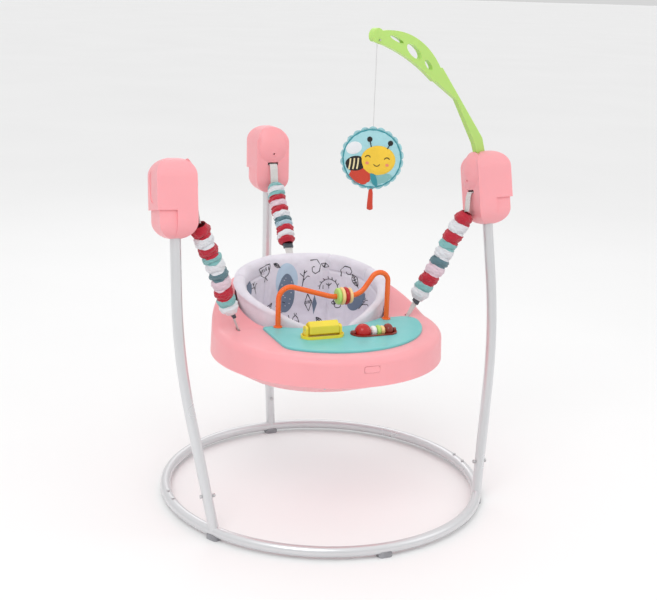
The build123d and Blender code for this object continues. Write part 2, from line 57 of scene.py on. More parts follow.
LEG_HOLE_R = 0.050
LEG_HOLE_X = 0.066

STRAPS = {
    "left": ((-0.34647, -0.11479, 0.72), (-0.233, -0.052, 0.452)),
    "right": ((0.34647, -0.11479, 0.72), (0.233, -0.052, 0.452)),
    "back": ((0.0, 0.35546, 0.72), (0.0, 0.211, 0.548)),
}
SLEEVE_END_GAP = 0.042
SLEEVE_R = 0.0225

CORD_TOP = (0.03864, -0.20579, 1.137)
CORD_LENGTH = 0.185
BEE_CENTRE = Vector((0.03864, -0.20579, 0.878))
BEE_RIGHT = Vector((0.925, -0.38, 0)).normalized()
BEE_OUT = Vector((-0.38, -0.925, 0)).normalized()
BEE_R = 0.070
BEE_T = 0.021


# ---- materials -------------------------------------------------------------------------------

class Shade:
    """Builds one node material around a Principled shader."""

    def __init__(self, name, rough):
        self.mat = bpy.data.materials.new(name)
        self.mat.use_nodes = True
        self.tree = self.mat.node_tree
        self.bsdf = self.tree.nodes["Principled BSDF"]
        self.bsdf.inputs["Roughness"].default_value = rough
        self.coords = self.node("ShaderNodeTexCoord").outputs["Object"]

    def node(self, kind, **values):
        made = self.tree.nodes.new(kind)
        for key, value in values.items():
            setattr(made, key, value)
        return made

    def link(self, out, into):
        self.tree.links.new(out, into)

    def noise(self, scale, detail=4.0, rough=0.5, stretch=(1, 1, 1)):
        mapping = self.node("ShaderNodeMapping")
        mapping.inputs["Scale"].default_value = stretch
        self.link(self.coords, mapping.inputs["Vector"])
        made = self.node("ShaderNodeTexNoise")
        made.inputs["Scale"].default_value = scale
        made.inputs["Detail"].default_value = detail
        made.inputs["Roughness"].default_value = rough
        self.link(mapping.outputs["Vector"], made.inputs["Vector"])
        return made.outputs["Fac"]

    def wave(self, scale, axis, kind="BANDS"):
        made = self.node("ShaderNodeTexWave", wave_type=kind, bands_direction=axis)
        made.inputs["Scale"].default_value = scale
        made.inputs["Distortion"].default_value = 0.6
        self.link(self.coords, made.inputs["Vector"])
        return made.outputs["Fac"]

    def ramp(self, source, low, high, dark, light):
        made = self.node("ShaderNodeMapRange")
        made.inputs["From Min"].default_value = low
        made.inputs["From Max"].default_value = high
        made.inputs["To Min"].default_value = dark
        made.inputs["To Max"].default_value = light
        self.link(source, made.inputs["Value"])
        return made.outputs["Result"]

    def math(self, operation, a, b):
        made = self.node("ShaderNodeMath", operation=operation)
        for socket, value in zip(made.inputs, (a, b)):
            if isinstance(value, float):
                socket.default_value = value
            else:
                self.link(value, socket)
        return made.outputs["Value"]

    def colour(self, factor, dark, light):
        made = self.node("ShaderNodeMix", data_type="RGBA")
        self.link(factor, made.inputs["Factor"])
        made.inputs["A"].default_value = (*dark, 1)
        made.inputs["B"].default_value = (*light, 1)
        self.link(made.outputs["Result"], self.bsdf.inputs["Base Color"])

    def bump(self, height, strength, distance):
        made = self.node("ShaderNodeBump")
        made.inputs["Strength"].default_value = strength
        made.inputs["Distance"].default_value = distance
        self.link(height, made.inputs["Height"])
        self.link(made.outputs["Normal"], self.bsdf.inputs["Normal"])

    def roughness(self, source):
        self.link(source, self.bsdf.inputs["Roughness"])


def tone(colour, gain):
    return tuple(min(1.0, value * gain) for value in colour)


def plastic(name, colour, rough=0.36, soft=0.0, grain=0.35):
    """Moulded plastic: fine spark texture, faint flow marks, gloss that varies a little."""
    shade = Shade(name, rough)
    flow = shade.noise(7.0, 3.0, 0.5, (1, 1, 0.4))
    shade.colour(shade.ramp(flow, 0.3, 0.7, 0.0, 1.0), tone(colour, 0.965), tone(colour, 1.02))
    shade.roughness(shade.ramp(shade.noise(24.0, 5.0), 0.3, 0.7, rough - 0.05, rough + 0.07))
    shade.bump(shade.noise(1900.0, 2.0), grain, 0.00012)
    shade.bsdf.inputs["IOR"].default_value = 1.49
    if soft:
        shade.bsdf.inputs["Subsurface Weight"].default_value = soft
        shade.bsdf.inputs["Subsurface Radius"].default_value = (0.012, 0.005, 0.004)
        shade.bsdf.inputs["Subsurface Scale"].default_value = 0.5
    return shade.mat


def powder_coat(name, colour):
    """Powder-coated steel tube with orange peel and a clear sheen."""
    shade = Shade(name, 0.28)
    shade.colour(shade.ramp(shade.noise(5.0), 0.3, 0.7, 0.0, 1.0), tone(colour, 0.97), tone(colour, 1.02))
    shade.roughness(shade.ramp(shade.noise(9.0, 2.0), 0.3, 0.7, 0.27, 0.32))
    shade.bump(shade.noise(260.0, 2.0), 0.05, 0.00003)
    shade.bsdf.inputs["Metallic"].default_value = 0.62
    shade.bsdf.inputs["Coat Weight"].default_value = 0.35
    shade.bsdf.inputs["Coat Roughness"].default_value = 0.16
    return shade.mat


def steel(name, colour, rough=0.3):
    shade = Shade(name, rough)
    brushed = shade.noise(300.0, 3.0, 0.6, (1, 1, 0.06))
    shade.colour(shade.ramp(brushed, 0.3, 0.7, 0.0, 1.0), tone(colour, 0.8), colour)
    shade.roughness(shade.ramp(shade.noise(60.0), 0.3, 0.7, rough - 0.08, rough + 0.12))
    shade.bump(brushed, 0.15, 0.0002)
    shade.bsdf.inputs["Metallic"].default_value = 1.0
    return shade.mat


def rubber(name, colour):
    shade = Shade(name, 0.75)
    shade.colour(shade.ramp(shade.noise(60.0), 0.3, 0.7, 0.0, 1.0), tone(colour, 0.8), tone(colour, 1.15))
    shade.bump(shade.noise(900.0), 0.4, 0.0004)
    return shade.mat


def clear(name, colour):
    """Tinted see-through plastic with faint mould haze."""
    shade = Shade(name, 0.12)
    shade.colour(shade.ramp(shade.noise(12.0), 0.3, 0.7, 0.0, 1.0), tone(colour, 0.92), colour)
    shade.roughness(shade.ramp(shade.noise(50.0), 0.3, 0.7, 0.07, 0.2))
    shade.bump(shade.noise(160.0), 0.08, 0.0005)
    shade.bsdf.inputs["Transmission Weight"].default_value = 0.12
    shade.bsdf.inputs["Subsurface Weight"].default_value = 0.3
    shade.bsdf.inputs["Subsurface Radius"].default_value = (0.02, 0.014, 0.003)
    shade.bsdf.inputs["IOR"].default_value = 1.49
    return shade.mat


def fabric(name, colour, weave=1500.0, depth=0.5, sheen=0.3, pile=0.0):
    """Woven or brushed cloth: crossed threads, soft creases and slight fading."""
    shade = Shade(name, 0.88)
    mottle = shade.noise(26.0, 5.0, 0.6)
    shade.colour(shade.ramp(mottle, 0.25, 0.75, 0.0, 1.0), tone(colour, 0.90), tone(colour, 1.04))
    threads = shade.math("MAXIMUM", shade.wave(weave, "X"), shade.wave(weave, "Z"))
    crease = shade.math("MULTIPLY", shade.noise(90.0, 4.0, 0.6), 2.0 + pile)
    shade.bump(shade.math("ADD", threads, crease), depth, 0.0006)
    shade.bsdf.inputs["Sheen Weight"].default_value = sheen
    shade.bsdf.inputs["Sheen Roughness"].default_value = 0.5
    return shade.mat


PINK = (0.92, 0.375, 0.405)
MATERIALS = {
    "frame_tube": powder_coat("frame_tube", (0.70, 0.705, 0.72)),
    "grey_plastic": plastic("grey_plastic", (0.66, 0.67, 0.69), 0.4),
    "foot_rubber": rubber("foot_rubber", (0.32, 0.32, 0.34)),
    "zinc": steel("zinc", (0.66, 0.66, 0.67)),
    "pink_plastic": plastic("pink_plastic", PINK, 0.40, soft=0.12),
    "webbing": fabric("webbing", (0.84, 0.82, 0.80), 1100.0, 0.8),
    "spring_steel": steel("spring_steel", (0.42, 0.42, 0.44), 0.35),
    "dark_plastic": plastic("dark_plastic", (0.06, 0.075, 0.09), 0.45),
    "teal_plastic": plastic("teal_plastic", (0.165, 0.56, 0.555), 0.36, soft=0.06),
    "orange_plastic": plastic("orange_plastic", (0.88, 0.145, 0.018), 0.25, soft=0.05),
    "green_plastic": plastic("green_plastic", (0.47, 0.72, 0.17), 0.33, soft=0.12),
    "cream_plastic": plastic("cream_plastic", (0.92, 0.62, 0.28), 0.22, soft=0.08),
    "red_plastic": plastic("red_plastic", (0.50, 0.012, 0.012), 0.16),
    "white_plastic": plastic("white_plastic", (0.84, 0.84, 0.82), 0.22, soft=0.08),
    "brown_plastic": plastic("brown_plastic", (0.26, 0.03, 0.018), 0.2),
    "amber_clear": clear("amber_clear", (0.98, 0.78, 0.07)),
    "gold_beads": plastic("gold_beads", (0.80, 0.38, 0.03), 0.18),
    "yellow_plastic": plastic("yellow_plastic", (0.90, 0.70, 0.05), 0.2, soft=0.15),
    "seat_fabric": fabric("seat_fabric", (0.80, 0.765, 0.845), 1300.0, 0.35, 0.25, 1.5),
    "cord": fabric("cord", (0.70, 0.70, 0.70), 2500.0, 0.6),
    "bee_plush": fabric("bee_plush", (0.38, 0.68, 0.73), 1700.0, 0.5, 0.5, 3.0),
    "red_felt": fabric("red_felt", (0.66, 0.055, 0.025), 1700.0, 0.6, 0.3, 2.0),
    "ink": fabric("ink", (0.035, 0.035, 0.045), 1300.0, 0.3, 0.1),
    "print_grey": fabric("print_grey", (0.165, 0.215, 0.30), 1300.0, 0.3, 0.1),
    "print_blue": fabric("print_blue", (0.52, 0.66, 0.80), 1300.0, 0.3, 0.1),
    "band_red": fabric("band_red", (0.52, 0.012, 0.035)),
    "band_white": fabric("band_white", (0.80, 0.81, 0.85)),
    "band_pink": fabric("band_pink", (0.80, 0.62, 0.70)),
    "band_teal": fabric("band_teal", (0.24, 0.52, 0.52)),
    "band_slate": fabric("band_slate", (0.115, 0.22, 0.26)),
    "band_sky": fabric("band_sky", (0.46, 0.62, 0.72)),
    "felt_teal": fabric("felt_teal", (0.03, 0.30, 0.36), 1700.0, 0.5, 0.4, 2.0),
    "felt_yellow": fabric("felt_yellow", (0.92, 0.60, 0.045), 1700.0, 0.5, 0.4, 2.0),
    "felt_black": fabric("felt_black", (0.012, 0.010, 0.010), 1700.0, 0.5, 0.3, 2.0),
    "felt_cream": fabric("felt_cream", (0.86, 0.74, 0.42), 1700.0, 0.5, 0.4, 2.0),
    "felt_white": fabric("felt_white", (0.82, 0.84, 0.87), 1700.0, 0.5, 0.4, 2.0),
    "felt_blush": fabric("felt_blush", (0.86, 0.28, 0.16), 1700.0, 0.5, 0.4, 2.0),
}


def dress_frame():
    """Give every carried-over node the finish of its slot."""
    for part in frame["record"]["subparts"]:
        piece = frame["nodes"][part["node"]]
        material = MATERIALS.get(part["material_slot"], MATERIALS["seat_fabric"])
        for index in range(len(piece.data.materials)):
            piece.data.materials[index] = material


# ---- mesh helpers ------------------------------------------------------------------------------

def make_piece(name, points, faces, materials, slots=None, smooth=True):
    mesh = bpy.data.meshes.new(name)
    mesh.from_pydata([tuple(p) for p in points], [], faces)
    mesh.update()
    piece = bpy.data.objects.new(name, mesh)
    bpy.context.scene.collection.objects.link(piece)
    for material in materials:
        mesh.materials.append(MATERIALS[material])
    for index, face in enumerate(mesh.polygons):
        face.use_smooth = smooth
        if slots:
            face.material_index = slots[index]
    return piece


def apply_modifiers(piece):
    graph = bpy.context.evaluated_depsgraph_get()
    mesh = bpy.data.meshes.new_from_object(piece.evaluated_get(graph))
    piece.modifiers.clear()
    piece.data = mesh


def grid_faces(rows, columns, wrap):
    """Quads between rows of points; wrap closes each row on itself."""
    faces = []
    for row in range(rows - 1):
        for column in range(columns if wrap else columns - 1):
            after = (column + 1) % columns
            faces.append((row * columns + column, row * columns + after,
                          (row + 1) * columns + after, (row + 1) * columns + column))
    return faces


def merge_pieces(name, parts, material):
    """One piece from several point-and-face lists."""
    points, faces = [], []
    for part_points, part_faces in parts:
        start = len(points)
        points += part_points
        faces += [tuple(start + index for index in face) for face in part_faces]
    return make_piece(name, points, faces, [material])


def smoothstep(low, high, value):
    t = min(1.0, max(0.0, (value - low) / (high - low)))
    return t * t * (3 - 2 * t)


# ---- padded seat -------------------------------------------------------------------------------

def pad_top(y):
    """Height of the pad's rim: low behind the toys, rising past the hips to the back."""
    t = min(1.0, max(0.0, (y - PAD_FRONT_Y) / (PAD_BACK_Y - PAD_FRONT_Y)))
    return PAD_FRONT_Z + (PAD_BACK_Z - PAD_FRONT_Z) * t ** 0.55


def pad_ring_point(theta, inset, z):
    """A point inset from the tray's opening, at one angle round the seat."""
    return Vector(((OPENING_A - inset) * math.cos(theta), SEAT_Y + (OPENING_B - inset) * math.sin(theta), z))


def wall_inset(z):
    """How far the pouch's outside stands in from the tray's opening."""
    return 0.009 + 0.046 * (1 - smoothstep(0.25, 0.43, z))


def pad_section(theta):
    """Closed outline of the wall at one angle, from the outside bottom over the rim to the floor."""
    y = SEAT_Y + OPENING_B * math.sin(theta)
    top = pad_top(y)
    lean = smoothstep(PAD_FRONT_Z + 0.02, PAD_BACK_Z - 0.03, top)
    roll = 0.009 + 0.007 * lean
    centre_in = 0.009 + roll - 0.014 * lean
    centre_z = top - roll - 0.004
    section = []
    for step in range(14):
        z = PAD_LOW_Z + (centre_z - PAD_LOW_Z) * step / 13
        flare = 0.006 * lean * smoothstep(top - 0.06, top - 0.02, z)
        section.append(pad_ring_point(theta, wall_inset(z) - flare, z))
    for step in range(1, 12):
        angle = math.radians(180 * step / 12)
        inset = centre_in - roll * math.cos(angle) * 1.05
        section.append(pad_ring_point(theta, inset, centre_z + roll * math.sin(angle)))
    for step in range(16):
        z = centre_z + (PAD_FLOOR_Z + 0.004 - centre_z) * step / 15
        thick = 0.013 + 0.006 * lean * smoothstep(0.40, 0.52, z)
        section.append(pad_ring_point(theta, wall_inset(z) + thick, z))
    for step in range(1, 7):
        keep = 1 - step / 7
        edge = pad_ring_point(theta, wall_inset(PAD_FLOOR_Z) + 0.015, PAD_FLOOR_Z)
        section.append(Vector((edge.x * keep, SEAT_Y + (edge.y - SEAT_Y) * keep, PAD_FLOOR_Z)))
    return section


def pad_shell():
    """The whole cup as one closed form."""
    turns = 144
    sections = [pad_section(2 * math.pi * index / turns) for index in range(turns)]
    count = len(sections[0])
    points = [sections[turn][row] for row in range(count) for turn in range(turns)]
    faces = grid_faces(count, turns, True)
    top_centre = len(points)
    points.append(Vector((0, SEAT_Y, PAD_FLOOR_Z)))
    low_centre = len(points)
    points.append(Vector((0, SEAT_Y, PAD_LOW_Z)))
    last = (count - 1) * turns
    for turn in range(turns):
        after = (turn + 1) % turns
        faces.append((last + turn, last + after, top_centre))
        faces.append((after, turn, low_centre))
    return make_piece("seat_padding", points, faces, ["seat_fabric"])


def leg_holes():
    """Cutters for the two leg openings, rounded to the front."""
    cutters = []
    for side in (-1, 1):
        mesh = bpy.data.meshes.new("leg_cutter")
        form = bmesh.new()
        bmesh.ops.create_cone(
            form, cap_ends=True, segments=48, radius1=LEG_HOLE_R, radius2=LEG_HOLE_R, depth=0.1)
        bmesh.ops.translate(form, verts=form.verts, vec=(side * LEG_HOLE_X, SEAT_Y - 0.03, 0.27))
        form.to_mesh(mesh)
        form.free()
        cutter = bpy.data.objects.new("leg_cutter", mesh)
        bpy.context.scene.collection.objects.link(cutter)
        cutters.append(cutter)
    return cutters


def seam_depth(point):
    """Sewn lines: four up the wall and one round the inside under the rim, as a dent in metres."""
    across = Vector((point.x / OPENING_A, (point.y - SEAT_Y) / OPENING_B))
    inside = across.length < 0.935
    if point.z < 0.30 or across.length < 0.5:
        return 0.0
    theta = math.atan2(across.y, across.x)
    dent = 0.0
    for seam in (0.32, 1.02, math.pi - 1.02, math.pi - 0.32):
        away = (theta - seam) * 0.17
        dent = max(dent, math.exp(-(away / 0.0028) ** 2))
    if inside and point.y > -0.02:
        under = pad_top(point.y) - 0.040 - point.z
        side = 1 - smoothstep(0.9, 1.2, math.pi / 2 - abs(theta - math.pi / 2))
        dent = max(dent, side * math.exp(-(under / 0.003) ** 2))
    return dent * 0.0032


def swell(piece, frames, pressure, cap):
    """Cloth simulation that fills the piece like wadding, with each point's travel capped."""
    before = [vertex.co.copy() for vertex in piece.data.vertices]
    group = piece.vertex_groups.new(name="sewn")
    sewn = [v.index for v in piece.data.vertices if seam_depth(v.co) > 0.0022 or v.co.z < PAD_FLOOR_Z + 0.004]
    group.add(sewn, 1.0, "REPLACE")
    cloth = piece.modifiers.new("fill", "CLOTH")
    cloth.settings.quality = 4
    cloth.settings.mass = 0.25
    cloth.settings.tension_stiffness = 22
    cloth.settings.compression_stiffness = 22
    cloth.settings.bending_stiffness = 1.2
    cloth.settings.use_pressure = True
    cloth.settings.uniform_pressure_force = pressure
    cloth.settings.effector_weights.gravity = 0
    cloth.settings.vertex_group_mass = "sewn"
    cloth.collision_settings.use_collision = False
    cloth.point_cache.frame_start = 1
    cloth.point_cache.frame_end = frames
    for index in range(1, frames + 1):
        bpy.context.scene.frame_set(index)
    apply_modifiers(piece)
    bpy.context.scene.frame_set(1)
    for vertex, start in zip(piece.data.vertices, before):
        move = vertex.co - start
        if move.length > cap:
            vertex.co = start + move * (cap / move.length)


def finish_pad(piece):
    """Press in the seams and the small gathers that run off them."""
    normals = [vertex.normal.copy() for vertex in piece.data.vertices]
    for vertex, normal in zip(piece.data.vertices, normals):
        point = vertex.co
        crease = noise.noise(Vector((point.x * 26, point.y * 26, point.z * 9)))
        ripple = 0.0016 * crease * smoothstep(0.30, 0.36, point.z)
        vertex.co = point + normal * (ripple - seam_depth(point))


def keep_in_opening(piece):
    """Hold the pad clear of the tray's collar and the ring that carries it."""
    for vertex in piece.data.vertices:
        point = vertex.co
        rim = pad_top(point.y) - 0.050
        reach = math.hypot(point.x / OPENING_A, (point.y - SEAT_Y) / OPENING_B)
        limit = 0.955 if point.z < max(0.450, rim) else 1.035
        if reach > limit:
            point.x *= limit / reach
            point.y = SEAT_Y + (point.y - SEAT_Y) * limit / reach


def seat_padding():
    piece = pad_shell()
    cutters = leg_holes()
    for cutter in cutters:
        cut = piece.modifiers.new("leg", "BOOLEAN")
        cut.operation = "DIFFERENCE"
        cut.object = cutter
    shape = piece.modifiers.new("even", "REMESH")
    shape.mode = "VOXEL"
    shape.voxel_size = 0.0048
    apply_modifiers(piece)
    for cutter in cutters:
        bpy.data.objects.remove(cutter)
    swell(piece, 14, 3.0, 0.006)
    keep_in_opening(piece)
    rounder = piece.modifiers.new("round", "SUBSURF")
    rounder.levels = 1
    apply_modifiers(piece)
    finish_pad(piece)
    for face in piece.data.polygons:
        face.use_smooth = True
    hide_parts("seat_pad")
    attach(piece, "seat")
    return piece


# ---- printed pattern on the seat ----------------------------------------------------------------

class Wall:
    """Finds points on the inside of the pad from an angle round the seat and a height."""

    def __init__(self, piece):
        form = bmesh.new()
        form.from_mesh(piece.data)
        self.tree = BVHTree.FromBMesh(form)
        form.free()

    def at(self, phi, z, lift):
        origin = Vector((0, SEAT_Y, z))
        heading = Vector((math.sin(phi), math.cos(phi), 0))
        point, normal, _, _ = self.tree.ray_cast(origin, heading)
        if point is None:
            point, normal = origin + heading * 0.16, -heading
        if normal.dot(heading) > 0:
            normal = -normal
        return point + normal * lift, normal


def place(motif, phi, z, size, turn):
    """Motif points, drawn in a unit square, as angle and height on the wall."""
    spots = []
    for u, v in motif:
        x = (u * math.cos(turn) - v * math.sin(turn)) * size
        y = (u * math.sin(turn) + v * math.cos(turn)) * size
        spots.append((phi + x / 0.16, z + y))
    return spots


def resample(spots, step):
    out = [spots[0]]
    for (a0, z0), (a1, z1) in zip(spots, spots[1:]):
        parts = max(1, int(math.hypot((a1 - a0) * 0.16, z1 - z0) / step))
        out += [(a0 + (a1 - a0) * k / parts, z0 + (z1 - z0) * k / parts) for k in range(1, parts + 1)]
    return out


def ink_line(wall, spots, width):
    """A drawn line as a thin ribbon lying on the cloth."""
    spots = resample(spots, 0.003)
    hits = [wall.at(phi, z, 0.0006) for phi, z in spots]
    points = []
    for index, (point, normal) in enumerate(hits):
        before = hits[max(0, index - 1)][0]
        after = hits[min(len(hits) - 1, index + 1)][0]
        side = (after - before).cross(normal).normalized()
        swell_by = 0.75 + 0.45 * noise.noise(point * 90)
        points += [point - side * width / 2 * swell_by, point + side * width / 2 * swell_by]
    faces = [(2 * k, 2 * k + 1, 2 * k + 3, 2 * k + 2) for k in range(len(hits) - 1)]
    return points, faces


def print_patch(wall, spots, lift=0.0004):
    """A filled printed shape, from an outline that is star-shaped about its middle."""
    spots = resample(spots + spots[:1], 0.006)[:-1]
    mid = (sum(s[0] for s in spots) / len(spots), sum(s[1] for s in spots) / len(spots))
    rings, count = 7, len(spots)
    points = []
    for ring in range(1, rings + 1):
        keep = ring / rings
        for phi, z in spots:
            points.append(wall.at(mid[0] + (phi - mid[0]) * keep, mid[1] + (z - mid[1]) * keep, lift)[0])
    faces = grid_faces(rings, count, True)
    points.append(wall.at(mid[0], mid[1], lift)[0])
    faces += [((k + 1) % count, k, len(points) - 1) for k in range(count)]
    return points, faces


def circle(radius=1.0, count=18, start=0.0, sweep=360.0, squeeze=1.0, middle=(0, 0)):
    angles = [math.radians(start + sweep * k / count) for k in range(count + 1)]
    return [(middle[0] + radius * math.cos(a), middle[1] + radius * squeeze * math.sin(a)) for a in angles]


def leaf():
    half = [(math.sin(math.pi * k / 10) * 0.42, -1 + 0.2 * k) for k in range(11)]
    outline = half + [(-x, y) for x, y in reversed(half)]
    veins = [[(0, -1.3), (0, 0.8)]]
    veins += [[(0, y), (side * 0.28, y + 0.25)] for y in (-0.5, -0.1, 0.3) for side in (-1, 1)]
    return [outline] + veins


def diamond():
    lines = [[(0, 1), (0.5, 0), (0, -1), (-0.5, 0), (0, 1)]]
    lines += [[(-0.4 + 0.2 * k, -0.15), (-0.3 + 0.2 * k, 0.2)] for k in range(5)]
    return lines


def branch():
    lines = [[(-0.2, -1), (0.0, 0), (0.1, 1)]]
    lines += [[(0, -0.2), (0.6, 0.3)], [(0.02, 0.2), (-0.6, 0.6)]]
    lines += [[(0.6, 0.3), (0.9, 0.2)], [(0.05, 0.6), (0.5, 0.9)]]
    return lines


def burrow():
    """A hill with grass on top and a small tree inside."""
    lines = [circle(1.0, 16, 0, 180)]
    lines += [[(math.cos(a), math.sin(a)), (1.25 * math.cos(a + 0.1), 1.25 * math.sin(a + 0.1))]
              for a in (0.4, 0.8, 1.2, 1.6, 2.0, 2.4, 2.8)]
    lines += [[(0, 0), (0, 0.6)], [(0, 0.3), (0.3, 0.6)], [(0, 0.25), (-0.3, 0.5)], [(-0.6, 0), (-0.6, 0.4)]]
    return lines


def basket():
    """A wide bowl with hatching and two short feet."""
    lines = [[(-1, 0.7), (-0.5, -0.4), (0, -0.8), (0.6, -0.4), (1, 0.7), (-1, 0.7)]]
    lines += [[(-0.7 + 0.28 * k, 0.45), (-0.6 + 0.25 * k, 0.05)] for k in range(6)]
    lines += [[(-0.1, -0.8), (-0.25, -1.2)], [(0.15, -0.8), (0.3, -1.2)]]
    return lines


def curl():
    return [[(0.12 * t * math.cos(t * 0.9), 0.12 * t * math.sin(t * 0.9)) for t in range(1, 10)]]


def paw():
    lines = [circle(0.5, 12, 0, 360, 0.8)]
    toes = [(0.75 * math.cos(a), 0.8 * math.sin(a)) for a in (0.7, 1.3, 1.9, 2.5)]
    lines += [circle(0.2, 8, 0, 360, 1.2, toe) for toe in toes]
    return lines


def bottle(width, height):
    """A tall rounded blob, narrow in the shoulders."""
    count = 30
    spots = []
    for k in range(count):
        a = 2 * math.pi * k / count
        narrow = 1 - 0.22 * math.sin(a) if math.sin(a) > 0 else 1.0
        lift = math.copysign(abs(math.sin(a)) ** 0.75, math.sin(a))
        spots.append((width * math.cos(a) * narrow, height * lift))
    return spots


def toward_middle(point, move):
    """The point moved level towards the seat's upright axis."""
    return point + (Vector((0, SEAT_Y, point.z)) - point).normalized() * move


def seat_print(wall):
    """Loose line drawings and two-tone blobs scattered over the inside of the seat."""
    plan = [
        (basket, -0.72, 0.527, 0.020, 0.2), (branch, 0.18, 0.500, 0.021, 0.0),
        (curl, 0.42, 0.527, 0.022, 0.4), (burrow, 0.70, 0.470, 0.024, 0.0),
        (diamond, 0.30, 0.432, 0.022, 0.1), (leaf, -0.60, 0.425, 0.015, -0.5),
        (paw, 0.86, 0.425, 0.016, 0.2), (branch, -0.98, 0.490, 0.016, 0.6),
        (leaf, 1.15, 0.500, 0.016, 0.5), (diamond, -1.05, 0.435, 0.026, 0.0),
        (curl, -0.30, 0.420, 0.020, 1.0), (basket, 0.02, 0.385, 0.014, 3.1),
        (burrow, -0.42, 0.380, 0.016, 0.3), (leaf, 0.55, 0.380, 0.014, 0.8),
        (paw, -1.35, 0.455, 0.014, 0.0), (branch, 1.30, 0.440, 0.018, -0.4),
        (curl, 1.02, 0.520, 0.018, 2.0), (diamond, 0.62, 0.535, 0.011, 1.2),
        (leaf, -0.45, 0.540, 0.011, 1.1), (curl, 1.6, 0.430, 0.016, 0.5),
        (leaf, -1.75, 0.420, 0.012, 0.2),
    ]
    lines = []
    for make, phi, z, size, turn in plan:
        for motif in make():
            lines.append(ink_line(wall, place(motif, phi, z, size * 1.12, turn), 0.0026))
    for side in (-1, 1):
        feet = [(side * 0.2, -1.0), (side * 0.28, -1.25), (side * 0.45, -1.3)]
        lines.append(ink_line(wall, place(feet, -0.22, 0.462, 0.062, 0), 0.0028))
    greys = [print_patch(wall, place(bottle(0.033, 0.054), -0.22, 0.462, 1, 0), 0.0007)]
    greys.append(print_patch(wall, place(bottle(0.018, 0.036), -1.18, 0.480, 1, -0.3), 0.0007))
    greys.append(print_patch(wall, place(bottle(0.018, 0.034), 1.18, 0.445, 1, -0.6), 0.0007))
    kite = [(-0.006, -0.03), (0.004, 0.0), (-0.004, 0.026), (-0.012, 0.0)]
    greys.append(print_patch(wall, place(kite, 0.46, 0.428, 1, 0)))
    blues = [print_patch(wall, place(bottle(0.043, 0.044), -0.22, 0.500, 1, 0), 0.0004)]
    blues.append(print_patch(wall, place(bottle(0.014, 0.020), -1.12, 0.452, 1, -0.3), 0.0004))
    pale = []
    for k in range(14):
        spot = (0.020 * math.sin(k * 2.4), -0.040 + 0.0060 * k)
        steps = ((-0.002, 0.0), (0.0006, 0.0012), (0.0024, -0.001))
        dash = [(spot[0] + du, spot[1] + dv) for du, dv in steps]
        pale.append(ink_line(wall, place(dash, -0.22, 0.466, 1, 0), 0.0018))
    pale = [([toward_middle(p, 0.0004) for p in points], faces) for points, faces in pale]
    for name, parts, material in (("print_ink", lines, "ink"), ("print_grey", greys, "print_grey"),
                                  ("print_blue", blues, "print_blue"), ("print_pale", pale, "band_white")):
        piece = merge_pieces("seat_" + name, parts, material)
        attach(piece, "seat")


# ---- gathered sleeves over the springs -------------------------------------------------------------

BANDS = {
    "left": ("red", "white", "red", "teal", "white", "slate", "pink", "red", "teal", "white"),
    "right": ("red", "white", "red", "teal", "white", "slate", "pink", "red", "teal", "white"),
    "back": ("teal", "white", "teal", "red", "pink", "red", "white", "slate", "sky", "red", "white", "red"),
}
BAND_WIDTHS = {"red": 1.15, "white": 1.15, "teal": 0.8, "slate": 0.9, "pink": 1.15, "sky": 0.9}


def strap_axes(name):
    top, anchor = (Vector(p) for p in STRAPS[name])
    along = (anchor - top).normalized()
    side = along.cross(Vector((0, 1, 0.2))).normalized()
    return top, along, side, side.cross(along), (anchor - top).length - SLEEVE_END_GAP


def gathered_sleeve(name):
    """Tube of soft cloth pushed up on the spring, bunched into uneven rings of colour."""
    top, along, side, other, length = strap_axes(name)
    bands = BANDS[name]
    total = sum(BAND_WIDTHS[band] for band in bands)
    edges = [0.0]
    for band in bands:
        edges.append(edges[-1] + BAND_WIDTHS[band] / total)
    seed = {"left": 3.1, "right": 8.7, "back": 14.2}[name]
    rows, turns = 240, 64
    names = sorted(set(bands))
    points, band_of_row = [], []
    for row in range(rows):
        t = row / (rows - 1)
        band_of_row.append(max(k for k in range(len(bands)) if edges[k] <= t + 1e-6))
        for turn in range(turns):
            a = 2 * math.pi * turn / turns
            slant = 0.016 * math.sin(a + seed) + 0.012 * math.sin(2 * a + 5 * t + seed)
            shifted = min(1.0, max(0.0, t + slant))
            band = max(k for k in range(len(bands)) if edges[k] <= shifted)
            inner = (shifted - edges[band]) / (edges[band + 1] - edges[band])
            puff = math.sin(math.pi * min(1.0, max(0.0, inner))) ** 0.55
            fold = noise.noise(Vector((2.1 * math.cos(a), 2.1 * math.sin(a), 46 * t + seed)))
            fine = noise.noise(Vector((5 * math.cos(a), 5 * math.sin(a), 120 * t - seed)))
            ends = smoothstep(-0.02, 0.07, t) * smoothstep(-0.02, 0.06, 1 - t)
            radius = SLEEVE_R * (0.74 + 0.26 * puff + 0.13 * fold + 0.05 * fine)
            radius = 0.0135 + (radius - 0.0135) * ends
            sway = 0.0022 * math.sin(9 * t + seed)
            centre = top + along * (length * t) + side * sway * ends
            points.append(centre + (side * math.cos(a) + other * math.sin(a)) * radius)
    faces = grid_faces(rows, turns, True)
    slots = [names.index(bands[band_of_row[index // turns]]) for index in range(len(faces))]
    piece = make_piece("gathered_sleeve_" + name, points, faces, ["band_" + n for n in names], slots)
    thick = piece.modifiers.new("cloth", "SOLIDIFY")
    thick.thickness = 0.0011
    thick.offset = -1
    apply_modifiers(piece)
    for face in piece.data.polygons:
        face.use_smooth = True
    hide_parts("sleeve_" + name)
    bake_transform(piece)


